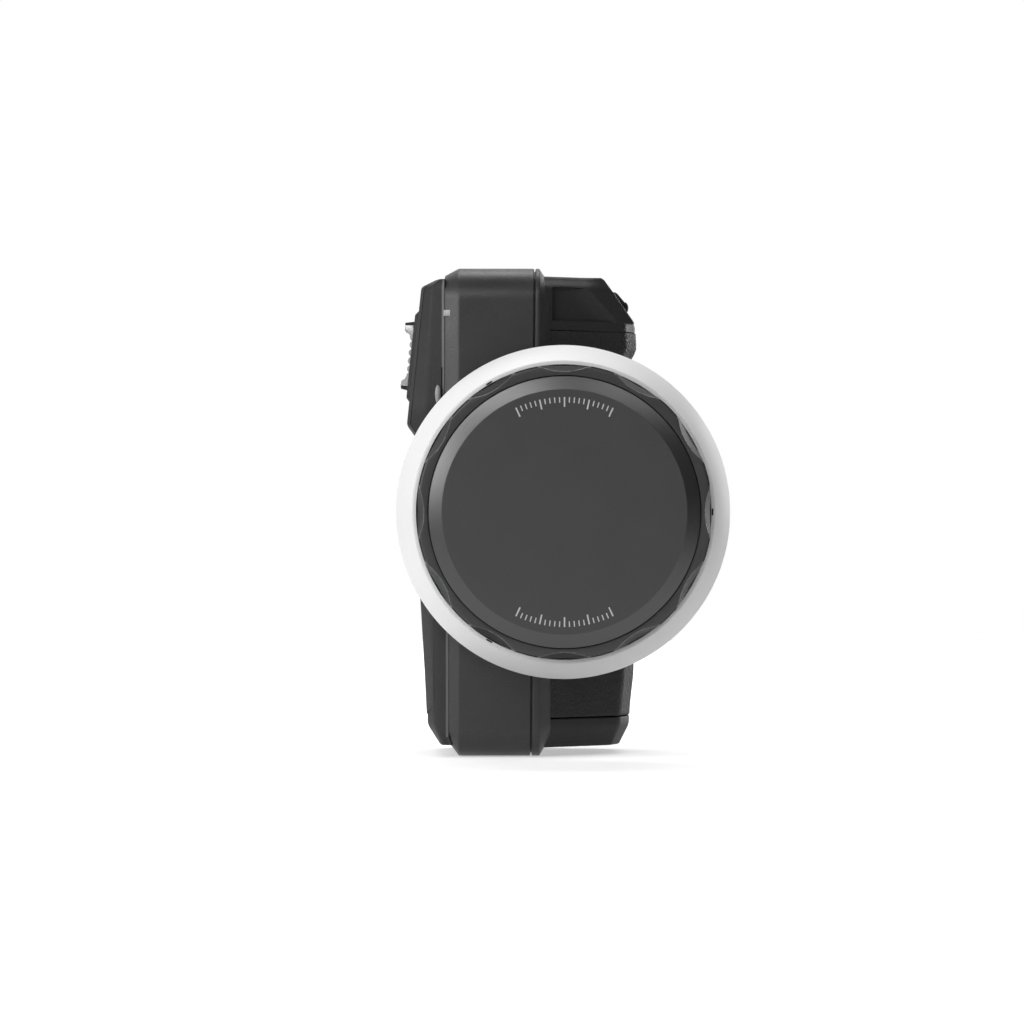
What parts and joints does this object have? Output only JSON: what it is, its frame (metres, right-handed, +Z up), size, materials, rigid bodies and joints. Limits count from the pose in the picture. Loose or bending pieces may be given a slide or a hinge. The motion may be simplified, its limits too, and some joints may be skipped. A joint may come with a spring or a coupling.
{
  "type": "wireless focus demand",
  "caption": "Hand-held wireless focus controller: a slim body with a grip, display and thumb slider, and a large finger-scalloped knob with a white marking ring.",
  "frame": {"origin": "middle of the flat base of the slim body", "axes": "+Z up the body; -Y the way the knob faces; -X the operator's side with the display; +X the finger grip; +Y the palm side"},
  "size_m": [0.08, 0.0825, 0.1182],
  "materials": {
    "band_black": "black anodised, fine grain",
    "shell_black": "matte black moulding",
    "rubber_black": "black, pebbled",
    "knob_black": "matte black, fine grain",
    "ring_white": "white, satin",
    "slider_silver": "light satin",
    "light_diffuser": "frosted",
    "dark_glass": "tinted, polished",
    "steel": "plain",
    "alloy": "turned",
    "brass": "turned",
    "board_green": "solder mask",
    "cell_wrap": "heat-shrink wrap"
  },
  "bodies": {
    "hand_unit": {"operator_housing": "band_black", "far_housing": "shell_black", "control_head": "shell_black", "side_cover": "shell_black", "thumb_pad": "rubber_black", "finger_pad": "rubber_black", "palm_pad": "rubber_black", "finger_module": "shell_black", "display_glass": "dark_glass", "display_panel": "board_green", "slider_bezel": "shell_black", "slider_sensor": "steel", "status_light": "light_diffuser", "key_board": "board_green", "finger_switch": "steel", "knob_turret": "shell_black", "front_bearing": "steel", "rear_bearing": "steel", "damper_stator": "alloy", "encoder_board": "board_green", "main_board": "board_green", "radio_shield": "alloy", "battery_cell": "cell_wrap", "battery_clip": "steel", "charge_port": "steel", "tripod_socket": "brass"},
    "knob": {"knob_body": "knob_black", "knob_face": "knob_black", "knob_hub": "alloy", "knob_screw": "steel", "stop_pin": "steel", "damper_rotor": "alloy", "encoder_magnet": "steel", "retaining_clip": "steel"},
    "marking_ring": {"marking_ring": "ring_white"},
    "thumb_slider": {"thumb_slider": "slider_silver"},
    "menu_key": {"menu_key": "shell_black"},
    "mode_key": {"mode_key": "shell_black"},
    "power_key": {"power_key": "shell_black"},
    "finger_button": {"finger_button": "shell_black"}
  },
  "joints": [
    {"name": "knob_spin", "type": "hinge", "parent": "hand_unit", "child": "knob", "pos_m": [0.01543, -0.055, 0.0591], "axis": [0, 1, 0], "range_deg": [-150, 150]},
    {"name": "ring_slide", "type": "slide", "parent": "knob", "child": "marking_ring", "axis": [0, -1, 0], "range_m": [0, 0.03]},
    {"name": "slider_slide", "type": "slide", "parent": "hand_unit", "child": "thumb_slider", "axis": [0.1052, 0, 0.9945], "range_m": [-0.0014, 0.0014], "stiffness_N_per_m": 500},
    {"name": "menu_key_press", "type": "slide", "parent": "hand_unit", "child": "menu_key", "axis": [1, 0, 0], "range_m": [0, 0.0006], "stiffness_N_per_m": 1000, "springref_m": -0.0004},
    {"name": "mode_key_press", "type": "slide", "parent": "hand_unit", "child": "mode_key", "axis": [1, 0, 0], "range_m": [0, 0.0006], "stiffness_N_per_m": 1000, "springref_m": -0.0004},
    {"name": "power_key_press", "type": "slide", "parent": "hand_unit", "child": "power_key", "axis": [1, 0, 0], "range_m": [0, 0.0006], "stiffness_N_per_m": 1000, "springref_m": -0.0004},
    {"name": "finger_button_press", "type": "slide", "parent": "hand_unit", "child": "finger_button", "axis": [-0.769, 0, -0.6393], "range_m": [0, 0.0009], "stiffness_N_per_m": 900, "springref_m": -0.0005}
  ]
}
